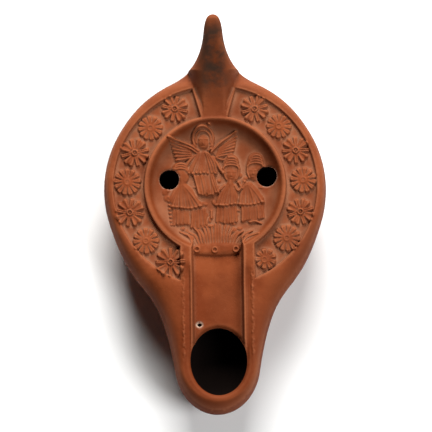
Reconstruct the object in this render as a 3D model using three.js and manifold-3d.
// A Roman oil lamp of red clay, made in a two-part mould and fired in one piece.
// Millimetres, +Z up. The solid spur handle points to +Y and the nozzle to -Y, the
// underside of the foot ring stands on z = 0, and the origin is under the middle of
// the lamp. All plan positions below are measured from the middle of the round bowl.

import {
	BufferAttribute, BufferGeometry, CubicBezierCurve, CurvePath, EllipseCurve, ExtrudeGeometry,
	Group, LatheGeometry, Mesh, MeshStandardMaterial, Shape, Vector2, Vector3
} from 'three';
import { LoftGeometry } from 'three/addons/geometries/LoftGeometry.js';
import { ConvexGeometry } from 'three/addons/geometries/ConvexGeometry.js';
import { mergeVertices } from 'three/addons/utils/BufferGeometryUtils.js';
import Module from 'manifold-3d';

const wasm = await Module();
wasm.setup();

// ---------------------------------------------------------------- driving dimensions

// Plan outline
const BOWL_RADIUS = 40;
const NOZZLE_REACH = 81; // bowl centre to the front of the nozzle
const HANDLE_REACH = 59; // bowl centre to the tip of the handle
const BOWL_Y = ( NOZZLE_REACH - HANDLE_REACH ) / 2; // bowl centre, from the origin
const NOZZLE_HALF_WIDTH = 15.4; // where the rounded end of the nozzle begins
const NOZZLE_END_Y = - 62.4;
const NOZZLE_TAPER = 0.19; // radians, the sides' lean where the end begins
const NOZZLE_FLARE_ANGLE = 0.3; // radians round the bowl, where the sides leave it
const HANDLE_FLARE_ANGLE = 0.5;
const HANDLE_NECK = new Vector2( 3.4, 53.5 ); // half width, and distance from the bowl centre

// Heights above the standing plane
const RIM_TOP = 29.4; // crest of the outer rim
const RIDGE_TOP = 30.4; // crest of the ring round the discus
const BAND_FLOOR = 27.9; // sunk shoulder band that carries the rosettes
const DISCUS_FLOOR = 25.5; // sunk round picture field
const CHANNEL_END_FLOOR = 24.7; // floor of the channel at the wick hole
const NOZZLE_TOP = 28.2; // lip at the front of the nozzle
const WIDEST = 20; // level of the seam between the two mould halves
const NOZZLE_WIDEST = 17.5;
const UNDERSIDE = 1.2; // underside of the bowl, inside the foot ring
const NOZZLE_KEEL = 9.5; // underside of the nozzle at its front
const HANDLE_TIP_Z = 45.2;
const WALL = 3.2; // thickness of the clay

// Radii on the top, from the bowl centre
const RIM_CREST_RADIUS = 37.3;
const BAND_OUTER_RADIUS = 36.5;
const BAND_INNER_RADIUS = 25.3;
const DISCUS_EDGE_RADIUS = 23.7;
const DISCUS_FLOOR_RADIUS = 19;
const FOOT_RADIUS = 19.6;
const FOOT_WIDTH = 3.4;

// Channel, wick hole, filling holes and vent
const CHANNEL_X = 0.5; // the channel lies a little off the middle
const CHANNEL_HALF_WIDTH = 9.5;
const WALL_CREST_HALF_WIDTH = 12.4; // crest of the walls beside the channel
const WALL_OUTER_HALF_WIDTH = 13.2;
const WICK_HOLE = { y: - 62.9, halfWidth: 10.1, halfLength: 12.2 };
const FILLING_HOLES = [ new Vector2( - 16.4, 3.1 ), new Vector2( 18.6, 3.7 ) ];
const FILLING_HOLE_RADIUS = 3.6;
const VENT = new Vector2( - 6.2, - 49.6 );
const VENT_RADIUS = 0.7;

// Rosettes on the shoulder band
const ROSETTE_RING_RADIUS = 31.2;
const ROSETTE_RADIUS = 4.8;
const ROSETTE_HEIGHT = 1.1;
const ROSETTES_PER_SIDE = 7;
const FIRST_ROSETTE = 63; // degrees from +X, the one next to the handle
const LAST_ROSETTE = - 57;

const SINK = 0.6; // how far raised ornament reaches down into what carries it

// ---------------------------------------------------------------- small helpers

const clamp01 = ( t ) => Math.min( 1, Math.max( 0, t ) );
const mix = ( a, b, t ) => a + ( b - a ) * t;

function smoothstep( from, to, value ) {

	const t = clamp01( ( value - from ) / ( to - from ) );
	return t * t * ( 3 - 2 * t );

}

// A quarter of a superellipse: upright at t = 0, level at t = 1.
const roll = ( t, power ) => Math.pow( 1 - Math.pow( 1 - clamp01( t ), power ), 1 / power );

// A closed geometry as a solid with its faces pointing out.
function solid( geometry ) {

	const shared = new BufferGeometry().copy( geometry );
	shared.deleteAttribute( 'normal' );
	shared.deleteAttribute( 'uv' );
	const merged = mergeVertices( shared, 1e-4 );
	const vertProperties = new Float32Array( merged.attributes.position.array );
	const corners = merged.index.array;
	const triangles = [];
	for ( let i = 0; i < corners.length; i += 3 ) {

		const [ a, b, c ] = [ corners[ i ], corners[ i + 1 ], corners[ i + 2 ] ];
		if ( a !== b && b !== c && c !== a ) triangles.push( [ a, b, c ] );

	}

	const corner = ( i ) => new Vector3().fromArray( vertProperties, 3 * i );
	let volume = 0;
	for ( const [ a, b, c ] of triangles ) volume += corner( a ).cross( corner( b ) ).dot( corner( c ) );
	if ( volume < 0 ) triangles.forEach( ( triangle ) => triangle.reverse() );
	const triVerts = new Uint32Array( triangles.flat() );
	return new wasm.Manifold( new wasm.Mesh( { numProp: 3, vertProperties, triVerts } ) );

}

function union( solids ) {

	return solids.reduce( ( whole, piece ) => whole.add( piece ) );

}

function lathe( profile, segments ) {

	const points = profile.map( ( [ r, z ] ) => new Vector2( r, z ) );
	return solid( new LatheGeometry( points, segments ).rotateX( Math.PI / 2 ) );

}

// An upright prism of a plan shape.
function prism( shape, bottom, top, curveSegments ) {

	const geometry = new ExtrudeGeometry( shape, { depth: top - bottom, curveSegments, bevelEnabled: false } );
	return solid( geometry.translate( 0, 0, bottom ) );

}

function ellipseShape( x, y, rx, ry ) {

	const shape = new Shape();
	shape.absellipse( x, y, rx, ry, 0, 2 * Math.PI );
	return shape;

}

// ---------------------------------------------------------------- plan outline

// The right half of the outline, from the front of the nozzle to the tip of the handle.
function halfOutline() {

	const endLength = NOZZLE_REACH + NOZZLE_END_Y;
	const onBowl = ( angle ) => new Vector2( Math.cos( angle ), Math.sin( angle ) ).multiplyScalar( BOWL_RADIUS );
	const from = ( point, x, y, reach ) => point.clone().add( new Vector2( x, y ).normalize().multiplyScalar( reach ) );

	const end = new EllipseCurve(
		0, NOZZLE_END_Y, NOZZLE_HALF_WIDTH, endLength, - Math.PI / 2, - NOZZLE_TAPER
	);
	const endTop = end.getPoint( 1 );
	const leave = onBowl( - NOZZLE_FLARE_ANGLE );
	const nozzleSide = new CubicBezierCurve(
		endTop,
		from( endTop, NOZZLE_HALF_WIDTH * Math.sin( NOZZLE_TAPER ), endLength * Math.cos( NOZZLE_TAPER ), 37.3 ),
		from( leave, - Math.sin( NOZZLE_FLARE_ANGLE ), - Math.cos( NOZZLE_FLARE_ANGLE ), 32.8 ),
		leave
	);
	const bowl = new EllipseCurve(
		0, 0, BOWL_RADIUS, BOWL_RADIUS, - NOZZLE_FLARE_ANGLE, HANDLE_FLARE_ANGLE
	);
	const join = onBowl( HANDLE_FLARE_ANGLE );
	const handleFlare = new CubicBezierCurve(
		join,
		from( join, - Math.sin( HANDLE_FLARE_ANGLE ), Math.cos( HANDLE_FLARE_ANGLE ), 29 ),
		from( HANDLE_NECK, 0.12, - 1, 18.8 ),
		HANDLE_NECK
	);
	const tip = new Vector2( 0, HANDLE_REACH );
	const handleTip = new CubicBezierCurve(
		HANDLE_NECK, from( HANDLE_NECK, - 0.12, 1, 3 ), from( tip, 1, 0, 2.2 ), tip
	);

	const path = new CurvePath();
	path.curves.push( end, nozzleSide, bowl, handleFlare, handleTip );
	return path.getPoints( 40 );

}

const OUTLINE = halfOutline();

function halfWidth( y ) {

	for ( let i = 1; i < OUTLINE.length; i ++ ) {

		const [ a, b ] = [ OUTLINE[ i - 1 ], OUTLINE[ i ] ];
		if ( y <= b.y && b.y > a.y ) return mix( a.x, b.x, clamp01( ( y - a.y ) / ( b.y - a.y ) ) );

	}

	return 0;

}

// Distance in plan from a point inside the lamp to its outline.
function outlineDistance( x, y ) {

	const point = new Vector2( Math.abs( x ), y );
	const nearest = new Vector2();
	let least = Infinity;
	for ( let i = 1; i < OUTLINE.length; i ++ ) {

		const side = OUTLINE[ i ].clone().sub( OUTLINE[ i - 1 ] );
		const along = clamp01( point.clone().sub( OUTLINE[ i - 1 ] ).dot( side ) / side.lengthSq() );
		nearest.copy( OUTLINE[ i - 1 ] ).addScaledVector( side, along );
		least = Math.min( least, nearest.distanceTo( point ) );

	}

	return least;

}

// Distance in plan from a bar along the Y axis, whose half width runs from one end to the other.
function barDistance( x, y, from, to, halfFrom, halfTo ) {

	const along = clamp01( ( y - from ) / ( to - from ) );
	return Math.hypot( x, y - mix( from, to, along ) ) - mix( halfFrom, halfTo, along );

}

// ---------------------------------------------------------------- outer surface

// Side view of the handle: its ridge above and its keel below, as heights along Y.
const SPUR_RIDGE = new CubicBezierCurve(
	new Vector2( 24, RIDGE_TOP ), new Vector2( 38, 30.6 ), new Vector2( 46, 41.5 ),
	new Vector2( HANDLE_REACH - 1.5, 46.6 )
).getPoints( 24 );
const SPUR_KEEL = new CubicBezierCurve(
	new Vector2( 33, 9 ), new Vector2( 41, 16 ), new Vector2( 46, 29 ),
	new Vector2( HANDLE_REACH - 1, 43.8 )
).getPoints( 24 );

function heightAlong( points, y ) {

	const last = points.length - 1;
	if ( y <= points[ 0 ].x ) return points[ 0 ].y;
	for ( let i = 1; i <= last; i ++ ) {

		const [ a, b ] = [ points[ i - 1 ], points[ i ] ];
		if ( y <= b.x ) return mix( a.y, b.y, ( y - a.x ) / ( b.x - a.x ) );

	}

	return points[ last ].y;

}

const spurRidge = ( y ) => heightAlong( SPUR_RIDGE, y );
const spurKeel = ( y ) => heightAlong( SPUR_KEEL, y );
const spurSide = ( y ) => mix( 4.6, 8, ( y - 24.5 ) / 13.5 ); // half width where it crosses the band
const spurFlat = ( y ) => mix( 3.6, 0.8, ( y - 24.5 ) / 31 ); // half width of its flat back

// Level of the mould seam, where the lamp is widest.
function widestLevel( y ) {

	if ( y < 0 ) return mix( WIDEST, NOZZLE_WIDEST, smoothstep( - 25, - NOZZLE_REACH, y ) );
	const spur = y > HANDLE_REACH - 1 ? HANDLE_TIP_Z : ( spurRidge( y ) + spurKeel( y ) ) / 2;
	return mix( WIDEST, spur, smoothstep( 36, 47, y ) );

}

const crestLevel = ( y ) => mix( RIM_TOP, NOZZLE_TOP, smoothstep( - 38, - NOZZLE_REACH, y ) );
const keelLevel = ( y ) => mix( UNDERSIDE, NOZZLE_KEEL, smoothstep( - 16, - 84, y ) );

// How far a point lies outside the crest of the rim and of the channel walls.
function crestDistance( x, y ) {

	const rim = Math.hypot( x, y ) - RIM_CREST_RADIUS;
	const walls = barDistance( x - CHANNEL_X, y, 0, - 65.6, WALL_CREST_HALF_WIDTH, WALL_CREST_HALF_WIDTH );
	const blend = 3.5; // width of the fillet where the rim runs into the walls
	const near = clamp01( 0.5 + 0.5 * ( walls - rim ) / blend );
	return mix( walls, rim, near ) - blend * near * ( 1 - near );

}

function topLevel( x, y ) {

	const edge = outlineDistance( x, y );
	const crest = crestDistance( x, y );
	const seam = widestLevel( y );
	const share = edge / ( edge + Math.max( crest, 0 ) + 1e-9 );
	const swell = ( RIDGE_TOP - RIM_TOP ) * smoothstep( 1, 9, - crest ) * smoothstep( - 52, - 28, y );
	const bowl = seam + ( crestLevel( y ) + swell - seam ) * roll( share, 2.2 );
	if ( y < 24 ) return bowl;

	const side = Math.max( Math.min( edge, spurSide( y ) - Math.abs( x ) ), 0 );
	const flat = Math.max( barDistance( x, y, 24.5, HANDLE_REACH - 3.5, 3.6, 0.8 ), 0 );
	const spur = seam + ( spurRidge( y ) - seam ) * roll( side / ( side + flat + 1e-9 ), 2.4 );
	return Math.max( y > BOWL_RADIUS + 5 ? seam : bowl, spur );

}

function bottomLevel( x, y ) {

	const seam = widestLevel( y );
	const radius = Math.hypot( x, y );
	let level = seam;
	if ( y <= 0 || radius < BOWL_RADIUS ) {

		const edge = y > 0 ? BOWL_RADIUS - radius : outlineDistance( x, y );
		const flat = Math.min( radius - FOOT_RADIUS, barDistance( x, y, - 10, - 71, 9, 4 ) );
		level = seam - ( seam - keelLevel( y ) ) * roll( edge / ( edge + Math.max( flat, 0 ) + 1e-9 ), 1.7 );

	}

	if ( y < 33 ) return level;
	const edge = outlineDistance( x, y );
	const flat = Math.max( barDistance( x, y, 33, HANDLE_REACH - 3, 1.8, 0.6 ), 0 );
	return Math.min( level, seam - ( seam - spurKeel( y ) ) * roll( edge / ( edge + flat + 1e-9 ), 1.9 ) );

}

// Where along the lamp its cross-sections stand, closer together where the shape turns.
function stations() {

	const list = [];
	const run = ( from, to, count ) => {

		for ( let i = 0; i < count; i ++ ) list.push( mix( from, to, i / count ) );

	};

	for ( let i = 0; i < 6; i ++ ) {

		const angle = mix( 0.045, Math.PI / 2, i / 6 );
		list.push( NOZZLE_END_Y - ( NOZZLE_REACH + NOZZLE_END_Y ) * Math.cos( angle ) );

	}

	run( NOZZLE_END_Y, - 48, 4 );
	run( - 48, - 24, 8 );
	run( - 24, 24, 6 );
	run( 24, 33, 2 );
	run( 33, 45, 7 );
	run( 45, HANDLE_REACH - 2, 4 );
	list.push( HANDLE_REACH - 2, HANDLE_REACH - 0.9, HANDLE_REACH - 0.15 );
	return list;

}

// Distances from the middle at which a cross-section has points, from the outline inwards.
function topColumns( y ) {

	const width = halfWidth( y );
	const rim = Math.sqrt( Math.max( RIM_CREST_RADIUS ** 2 - y * y, 0 ) );
	const wanted = y < 0 ? Math.max( rim, WALL_CREST_HALF_WIDTH ) : Math.max( rim, spurSide( y ) );
	const crest = Math.min( wanted, width * 0.8 );
	const turn = [ 0, 0.06, 0.24, 0.58, 1 ].map( ( t ) => mix( width, crest, t ) );
	const side = Math.min( spurSide( Math.max( y, 10 ) ), crest * 0.8 );
	const flat = Math.min( spurFlat( Math.max( y, 10 ) ), side * 0.7 );
	return [ ...turn, side, ( side + flat ) / 2, flat ];

}

function bottomColumns( y ) {

	const width = halfWidth( y );
	return [ 1, 0.96, 0.85, 0.68, 0.46, 0.2 ].map( ( t ) => width * t );

}

// A closed cross-section: over the top from -X to +X, and back underneath.
function section( y, top, bottom, over, under ) {

	const mirrored = ( columns ) => [ ...columns.map( ( x ) => - x ), 0, ...[ ...columns ].reverse() ];
	const above = mirrored( top ).map( ( x ) => new Vector3( x, y, over( x, y ) ) );
	const below = mirrored( bottom ).slice( 1, - 1 ).reverse().map( ( x ) => new Vector3( x, y, under( x, y ) ) );
	return [ ...above, ...below ];

}

function outerBody() {

	const sections = stations().map(
		( y ) => section( y, topColumns( y ), bottomColumns( y ), topLevel, bottomLevel )
	);
	const body = solid( new LoftGeometry( sections, { closed: true, capStart: true, capEnd: true } ) );
	const inner = FOOT_RADIUS - FOOT_WIDTH;
	const foot = lathe( [
		[ inner + 0.5, 0 ], [ FOOT_RADIUS - 0.4, 0 ], [ FOOT_RADIUS + 0.2, 1.9 ], [ inner, 1.9 ], [ inner + 0.5, 0 ]
	], 40 );
	return body.add( foot );

}

// ---------------------------------------------------------------- inside and openings

// The hollow keeps the wall's thickness from the outside, under the sunk fields too.
function hollow() {

	const bowl = BOWL_RADIUS - WALL;
	const front = WALL - NOZZLE_REACH;
	const inset = ( x, y ) => ( y > 0 ? BOWL_RADIUS - Math.hypot( x, y ) : outlineDistance( x, y ) ) - WALL;
	const width = ( y ) => {

		let [ inside, outside ] = [ 0, halfWidth( y ) ];
		for ( let i = 0; i < 30; i ++ ) {

			const middle = ( inside + outside ) / 2;
			if ( inset( middle, y ) > 0 ) inside = middle; else outside = middle;

		}

		return inside;

	};

	const ceiling = ( x, y ) => {

		const underBand = smoothstep( 23, 27.5, Math.hypot( x, y ) ) * smoothstep( 12, 15, Math.abs( x ) + Math.max( y, 0 ) );
		const field = mix( DISCUS_FLOOR, CHANNEL_END_FLOOR, smoothstep( - 25, - 60, y ) );
		return mix( field, BAND_FLOOR, underBand ) - WALL;

	};

	const over = ( x, y ) => {

		const seam = mix( WIDEST, NOZZLE_WIDEST, smoothstep( - 25, - NOZZLE_REACH, y ) );
		return seam + ( ceiling( x, y ) - seam ) * roll( inset( x, y ) / 5, 2 );

	};

	const under = ( x, y ) => {

		const seam = mix( WIDEST, NOZZLE_WIDEST, smoothstep( - 25, - NOZZLE_REACH, y ) );
		const edge = Math.max( inset( x, y ), 0 );
		const flat = Math.min( Math.hypot( x, y ) - FOOT_RADIUS, barDistance( x, y, - 10, - 68, 9, 4 ) );
		const depth = seam - keelLevel( y ) - WALL;
		return seam - depth * roll( edge / ( edge + Math.max( flat, 0 ) + 1e-9 ), 1.7 );

	};

	const rows = [];
	for ( let i = 0; i <= 18; i ++ ) {

		const turn = Math.cos( Math.PI * ( 0.02 + 0.96 * i / 18 ) );
		rows.push( mix( bowl - 0.1, front + 0.1, ( 1 - turn ) / 2 ) );

	}

	rows.reverse();
	const sections = rows.map( ( y ) => {

		const columns = [ 1, 0.93, 0.78, 0.45 ].map( ( t ) => width( y ) * t );
		return section( y, columns, columns, over, under );

	} );
	return solid( new LoftGeometry( sections, { closed: true, capStart: true, capEnd: true } ) );

}

const ABOVE = RIM_TOP + 20; // upper end of everything that cuts down from the top

function discusField() {

	return lathe( [
		[ 0, DISCUS_FLOOR ], [ DISCUS_FLOOR_RADIUS, DISCUS_FLOOR ], [ 21, DISCUS_FLOOR + 1.1 ],
		[ DISCUS_EDGE_RADIUS - 0.4, RIDGE_TOP - 1 ], [ DISCUS_EDGE_RADIUS, RIDGE_TOP - 0.1 ],
		[ DISCUS_EDGE_RADIUS, ABOVE ], [ 0, ABOVE ]
	], 36 );

}

function channel() {

	const cut = ( y, floor ) => [
		[ - CHANNEL_HALF_WIDTH - 1, ABOVE ], [ CHANNEL_HALF_WIDTH + 1, ABOVE ],
		[ CHANNEL_HALF_WIDTH + 0.7, floor + 2 ], [ CHANNEL_HALF_WIDTH - 0.4, floor ],
		[ - CHANNEL_HALF_WIDTH + 0.4, floor ], [ - CHANNEL_HALF_WIDTH - 0.7, floor + 2 ]
	].map( ( [ x, z ] ) => new Vector3( CHANNEL_X + x, y, z ) );
	const sections = [
		cut( WICK_HOLE.y, CHANNEL_END_FLOOR ), cut( - 40, DISCUS_FLOOR - 0.2 ), cut( - 17, DISCUS_FLOOR )
	];
	return solid( new LoftGeometry( sections, { closed: true, capStart: true, capEnd: true } ) );

}

// One side of the sunk shoulder band, from beside the handle round to the channel wall.
function shoulderBand( side ) {

	const wall = WALL_OUTER_HALF_WIDTH + side * CHANNEL_X;
	const angleAt = ( radius, x ) => Math.acos( x / radius );
	const shape = new Shape();
	shape.absarc( 0, 0, BAND_OUTER_RADIUS, - angleAt( BAND_OUTER_RADIUS, wall ), angleAt( BAND_OUTER_RADIUS, 7.7 ) );
	const inner = angleAt( BAND_INNER_RADIUS, 4.7 );
	shape.lineTo( BAND_INNER_RADIUS * Math.cos( inner ), BAND_INNER_RADIUS * Math.sin( inner ) );
	shape.absarc( 0, 0, BAND_INNER_RADIUS, inner, - angleAt( BAND_INNER_RADIUS, wall ), true );
	shape.closePath();
	const geometry = new ExtrudeGeometry( shape, {
		depth: ABOVE - BAND_FLOOR, curveSegments: 11, bevelEnabled: true,
		bevelThickness: 0.5, bevelSize: 0.4, bevelOffset: - 0.4, bevelSegments: 1
	} );
	return solid( geometry.translate( 0, 0, BAND_FLOOR + 0.5 ).scale( side, 1, 1 ) );

}

function holes() {

	const wick = ellipseShape( CHANNEL_X, WICK_HOLE.y, WICK_HOLE.halfWidth, WICK_HOLE.halfLength );
	const cuts = [ prism( wick, WIDEST - 2, ABOVE, 14 ) ];
	for ( const hole of FILLING_HOLES ) {

		const round = ellipseShape( hole.x, hole.y, FILLING_HOLE_RADIUS, FILLING_HOLE_RADIUS );
		cuts.push( prism( round, WIDEST, ABOVE, 10 ) );

	}

	cuts.push( prism( ellipseShape( VENT.x, VENT.y, VENT_RADIUS, VENT_RADIUS ), WIDEST, ABOVE, 4 ) );
	return union( cuts );

}

// ---------------------------------------------------------------- rosettes

// Closed rings of points, stacked from the bottom up, as a solid.
function stack( rings ) {

	return solid( new LoftGeometry( rings, { closed: true, capStart: true, capEnd: true } ) );

}

// A flower from a petal function, which gives reach and height at each step round it.
function flower( x, y, turn, steps, radius, petal ) {

	const ring = ( scale, height ) => Array.from( { length: steps }, ( _, step ) => {

		const angle = turn + 2 * Math.PI * step / steps;
		const { reach, rise } = petal( step );
		const r = radius * ( scale > 0.5 ? reach * scale : scale );
		const z = BAND_FLOOR + ( height > 0 ? height * rise : height );
		return new Vector3( x + r * Math.cos( angle ), y + r * Math.sin( angle ), z );

	} );
	const level = ( scale, height ) => ring( scale, 1 ).map( ( point ) => point.setZ( BAND_FLOOR + height ) );
	return stack( [
		ring( 1, - SINK ), ring( 0.96, ROSETTE_HEIGHT ),
		level( 0.3, ROSETTE_HEIGHT - 0.3 ), level( 0.18, ROSETTE_HEIGHT + 0.15 )
	] );

}

// Narrow petals with grooves between them, at two steps a petal.
const DAISY_STEPS = 20;
const daisyPetal = ( step ) => ( step % 2 ? { reach: 0.93, rise: 0.6 } : { reach: 1, rise: 1 } );

// Four broad petals, with a bar in each gap, at four steps a petal.
const CROSS_STEPS = 16;
const crossPetal = ( step ) => [
	{ reach: 1, rise: 1 }, { reach: 0.62, rise: 0.45 }, { reach: 0.94, rise: 0.85 }, { reach: 0.62, rise: 0.45 }
][ step % 4 ];

function rosettes() {

	const flowers = [];
	for ( const side of [ - 1, 1 ] ) {

		for ( let i = 0; i < ROSETTES_PER_SIDE; i ++ ) {

			const angle = mix( FIRST_ROSETTE, LAST_ROSETTE, i / ( ROSETTES_PER_SIDE - 1 ) ) * Math.PI / 180;
			const x = side * ROSETTE_RING_RADIUS * Math.cos( angle );
			const y = ROSETTE_RING_RADIUS * Math.sin( angle );
			const [ petal, steps ] = i % 2 ? [ daisyPetal, DAISY_STEPS ] : [ crossPetal, CROSS_STEPS ];
			flowers.push( flower( x, y, Math.atan2( y, x ), steps, ROSETTE_RADIUS, petal ) );

		}

	}

	return union( flowers );

}

// ---------------------------------------------------------------- figures in the discus

// A low mound with an oval foot and a smaller oval top.
function mound( x, y, rx, ry, height, sides = 10, floor = DISCUS_FLOOR ) {

	const ring = ( scale, z ) => Array.from( { length: sides }, ( _, i ) => {

		const angle = 2 * Math.PI * i / sides;
		return new Vector3( x + rx * scale * Math.cos( angle ), y + ry * scale * Math.sin( angle ), z );

	} );
	return stack( [ ring( 1, floor - SINK ), ring( 1, floor + height * 0.4 ), ring( 0.6, floor + height ) ] );

}

// A slab with straight sides through plan corners, lower at its edges.
function slab( corners, height ) {

	const middle = corners.reduce( ( sum, [ x, y ] ) => sum.add( new Vector2( x, y ) ), new Vector2() );
	middle.divideScalar( corners.length );
	const points = corners.flatMap( ( [ x, y ] ) => [
		new Vector3( x, y, DISCUS_FLOOR - SINK ), new Vector3( x, y, DISCUS_FLOOR + height * 0.45 ),
		new Vector3( mix( x, middle.x, 0.25 ), mix( y, middle.y, 0.25 ), DISCUS_FLOOR + height )
	] );
	return solid( new ConvexGeometry( points ) );

}

// A rounded rib along a bent line, as wide and as high at each point as its ends say.
function rib( line, widths, heights ) {

	const pieces = [];
	const count = line.length - 1;
	for ( let i = 0; i < count; i ++ ) {

		const along = new Vector2( line[ i + 1 ][ 0 ] - line[ i ][ 0 ], line[ i + 1 ][ 1 ] - line[ i ][ 1 ] ).normalize();
		const points = [ i, i + 1 ].flatMap( ( k ) => {

			const half = mix( widths[ 0 ], widths[ 1 ], k / count ) / 2;
			const top = DISCUS_FLOOR + mix( heights[ 0 ], heights[ 1 ], k / count );
			const reach = k === i ? - half * 0.5 : half * 0.5;
			const x = line[ k ][ 0 ] + along.x * reach;
			const y = line[ k ][ 1 ] + along.y * reach;
			return [ [ - 1, DISCUS_FLOOR - SINK ], [ 1, DISCUS_FLOOR - SINK ], [ 0, top ] ].map(
				( [ across, z ] ) => new Vector3( x - along.y * half * across, y + along.x * half * across, z )
			);

		} );
		pieces.push( solid( new ConvexGeometry( points ) ) );

	}

	return union( pieces );

}

// Points of an arc, given its middle, half axes and its two ends in degrees.
function arc( x, y, rx, ry, from, to, count ) {

	return Array.from( { length: count + 1 }, ( _, i ) => {

		const angle = mix( from, to, i / count ) * Math.PI / 180;
		return [ x + rx * Math.cos( angle ), y + ry * Math.sin( angle ) ];

	} );

}

// Ribs that spread like a fan between two lines, each given by its two ends.
function fan( roots, tips, count, widths, heights ) {

	return Array.from( { length: count }, ( _, i ) => {

		const t = count > 1 ? i / ( count - 1 ) : 0;
		const at = ( [ a, b ] ) => [ mix( a[ 0 ], b[ 0 ], t ), mix( a[ 1 ], b[ 1 ], t ) ];
		return rib( [ at( roots ), at( tips ) ], widths, heights );

	} );

}

function wing( root, tip, lowRoot, lowTip ) {

	const middle = [ mix( root[ 0 ], tip[ 0 ], 0.5 ), mix( root[ 1 ], tip[ 1 ], 0.5 ) + 0.5 ];
	return [
		rib( [ root, middle, tip ], [ 1.7, 1.5 ], [ 1.7, 1.3 ] ),
		...fan( [ root, lowRoot ], [ [ tip[ 0 ], tip[ 1 ] - 1.2 ], lowTip ], 5, [ 1.1, 1.5 ], [ 1.4, 1.2 ] )
	];

}

// The winged figure in a pleated tunic, above the middle of the discus.
function wingedFigure() {

	const [ x, y ] = [ - 4, 17.9 ];
	return [
		mound( x, y, 4.1, 4.9, 1.3, 12 ),
		mound( x, y - 1, 2.6, 3.6, 2 ),
		rib( arc( x, y, 3.5, 4.2, 200, - 20, 5 ), [ 1.2, 1.2 ], [ 1.9, 1.9 ] ),
		...wing( [ - 5.6, 12.6 ], [ - 16.4, 17.3 ], [ - 7.3, 10.3 ], [ - 13.6, 9.6 ] ),
		...wing( [ - 1.6, 12.8 ], [ 7.6, 20 ], [ - 0.8, 10.6 ], [ 7.4, 11.6 ] ),
		slab( [ [ - 6.6, 12.6 ], [ - 1.4, 12.6 ], [ - 0.3, 5.4 ], [ - 8.2, 5.4 ] ], 1.3 ),
		...fan( [ [ - 5.8, 11.4 ], [ - 2.4, 11.4 ] ], [ [ - 7.6, 5.6 ], [ - 1.4, 5.6 ] ], 4, [ 0.7, 1 ], [ 1.6, 1.5 ] ),
		slab( [ [ - 6.4, 5 ], [ - 1.2, 5 ], [ 0.3, - 2 ], [ - 5.8, - 2.6 ] ], 1.2 ),
		...fan( [ [ - 5.8, 4.6 ], [ - 1.8, 4.6 ] ], [ [ - 5.4, - 2.2 ], [ - 0.5, - 1.8 ] ], 5, [ 0.7, 0.8 ], [ 1.4, 1.4 ] ),
		rib( [ [ - 3.2, 11.2 ], [ - 0.7, 5.4 ] ], [ 1.3, 1.1 ], [ 1.9, 1.7 ] ),
		rib( [ [ - 6.8, 10.6 ], [ - 8.6, 6.6 ], [ - 7.6, 5 ] ], [ 1.4, 1.2 ], [ 1.4, 1.2 ] ),
		rib( [ [ - 0.9, 8 ], [ 0.6, 5.9 ], [ 3, 5.2 ] ], [ 1.5, 1.5 ], [ 1.3, 1 ] )
	];

}

// A youth in a layered cap, a short cloak and a knee-length skirt.
function youth( head, cloakLeft, cloakRight, hem ) {

	const [ x, y ] = head;
	const neck = [ mix( cloakLeft[ 0 ], cloakRight[ 0 ], 0.5 ), y - 4.6 ];
	const skirtTop = cloakLeft[ 1 ] + 0.6;
	return [
		mound( x, y - 1.2, 2.4, 3.4, 1.4 ),
		...[ 0, 1, 2 ].map( ( i ) => rib( arc( x, y - 1.6 + 1.5 * i, 2.6 - 0.4 * i, 1.7, 165, 15, 3 ), [ 0.9, 0.9 ], [ 1.7, 1.7 ] ) ),
		slab( [ neck, cloakRight, [ cloakRight[ 0 ] - 1.5, cloakRight[ 1 ] - 1 ], [ cloakLeft[ 0 ] + 1.5, cloakLeft[ 1 ] - 1 ], cloakLeft ], 1.2 ),
		...fan( [ neck, neck ], [ [ cloakLeft[ 0 ] + 1, cloakLeft[ 1 ] ], [ cloakRight[ 0 ] - 1, cloakRight[ 1 ] ] ], 3, [ 0.8, 1 ], [ 1.5, 1.4 ] ),
		slab( [ [ hem[ 0 ] - 3, skirtTop ], [ hem[ 0 ] + 3, skirtTop ], [ hem[ 0 ] + 3.6, hem[ 1 ] ], [ hem[ 0 ] - 3.6, hem[ 1 ] ] ], 0.8 ),
		...fan( [ [ hem[ 0 ] - 2, skirtTop ], [ hem[ 0 ] + 2, skirtTop ] ], [ [ hem[ 0 ] - 2.6, hem[ 1 ] ], [ hem[ 0 ] + 2.6, hem[ 1 ] ] ], 4, [ 0.7, 0.9 ], [ 1, 1 ] )
	];

}

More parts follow.
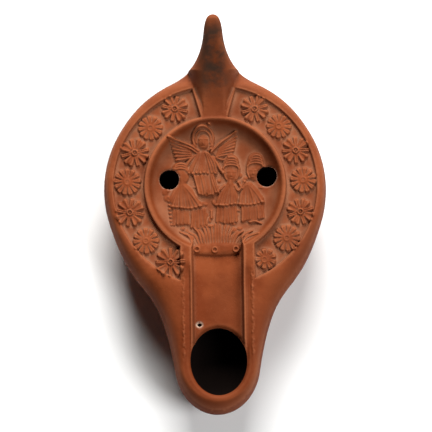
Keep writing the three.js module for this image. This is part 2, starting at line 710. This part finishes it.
function youths() {

	return [
		...youth( [ - 12, 6.6 ], [ - 15.6, - 5.6 ], [ - 4.8, - 7 ], [ - 11.4, - 13.2 ] ),
		...youth( [ 6.1, 7.2 ], [ 0.2, - 5.8 ], [ 8.2, - 5.2 ], [ 4.4, - 12.9 ] ),
		...youth( [ 14.3, 9.4 ], [ 8.4, - 5.6 ], [ 15.8, - 5.2 ], [ 13.2, - 12.6 ] ),
		rib( [ [ - 1.5, - 8.6 ], [ - 1.5, - 11.4 ] ], [ 1.1, 1.3 ], [ 1, 0.9 ] )
	];

}

// The flames that rise in a fan, and the front of the furnace with its three roundels.
function furnace() {

	const pieces = [];
	const strands = 11;
	for ( let i = 0; i < strands; i ++ ) {

		const t = i / ( strands - 1 );
		const root = [ mix( - 7, 7, t ), - 21.4 ];
		const tip = [ mix( - 13.6, 15.4, t ), - 15.4 - 2.4 * Math.abs( 2 * t - 1 ) ** 3 ];
		pieces.push( rib( [ root, tip ], [ 1.7, 1.3 ], [ 1.3, 0.9 ] ) );

	}

	pieces.push( slab( [ [ - 8.4, - 21 ], [ 8.8, - 21 ], [ 8, - 24.3 ], [ 0, - 25 ], [ - 8, - 24.2 ] ], 1.4 ) );
	for ( const x of [ - 6.9, - 0.7, 6.9 ] ) pieces.push( mound( x, - 22.9, 1.2, 1.2, 1.9, 8 ) );
	return pieces;

}

// ---------------------------------------------------------------- the lamp

function lampSolid() {

	const outside = outerBody()
		.subtract( discusField() )
		.subtract( channel() )
		.subtract( shoulderBand( 1 ) )
		.subtract( shoulderBand( - 1 ) );
	const carved = union( [ outside, rosettes(), ...wingedFigure(), ...youths(), ...furnace() ] );
	return carved.subtract( hollow() ).subtract( holes() );

}

function geometryOf( manifold ) {

	const { vertProperties, triVerts, numProp } = manifold.getMesh();
	const positions = new Float32Array( vertProperties.length / numProp * 3 );
	for ( let i = 0; i < positions.length / 3; i ++ ) {

		positions.set( vertProperties.subarray( i * numProp, i * numProp + 3 ), 3 * i );

	}

	const geometry = new BufferGeometry();
	geometry.setAttribute( 'position', new BufferAttribute( positions, 3 ) );
	geometry.setIndex( new BufferAttribute( triVerts, 1 ) );
	geometry.computeVertexNormals();
	return geometry;

}

const firedClay = new MeshStandardMaterial( { color: 0xa85436, roughness: 0.72, metalness: 0 } );

const lamp = new Mesh( geometryOf( lampSolid() ), firedClay );
lamp.name = 'lamp';
lamp.position.y = BOWL_Y;

const group = new Group();
group.add( lamp );

export default group;
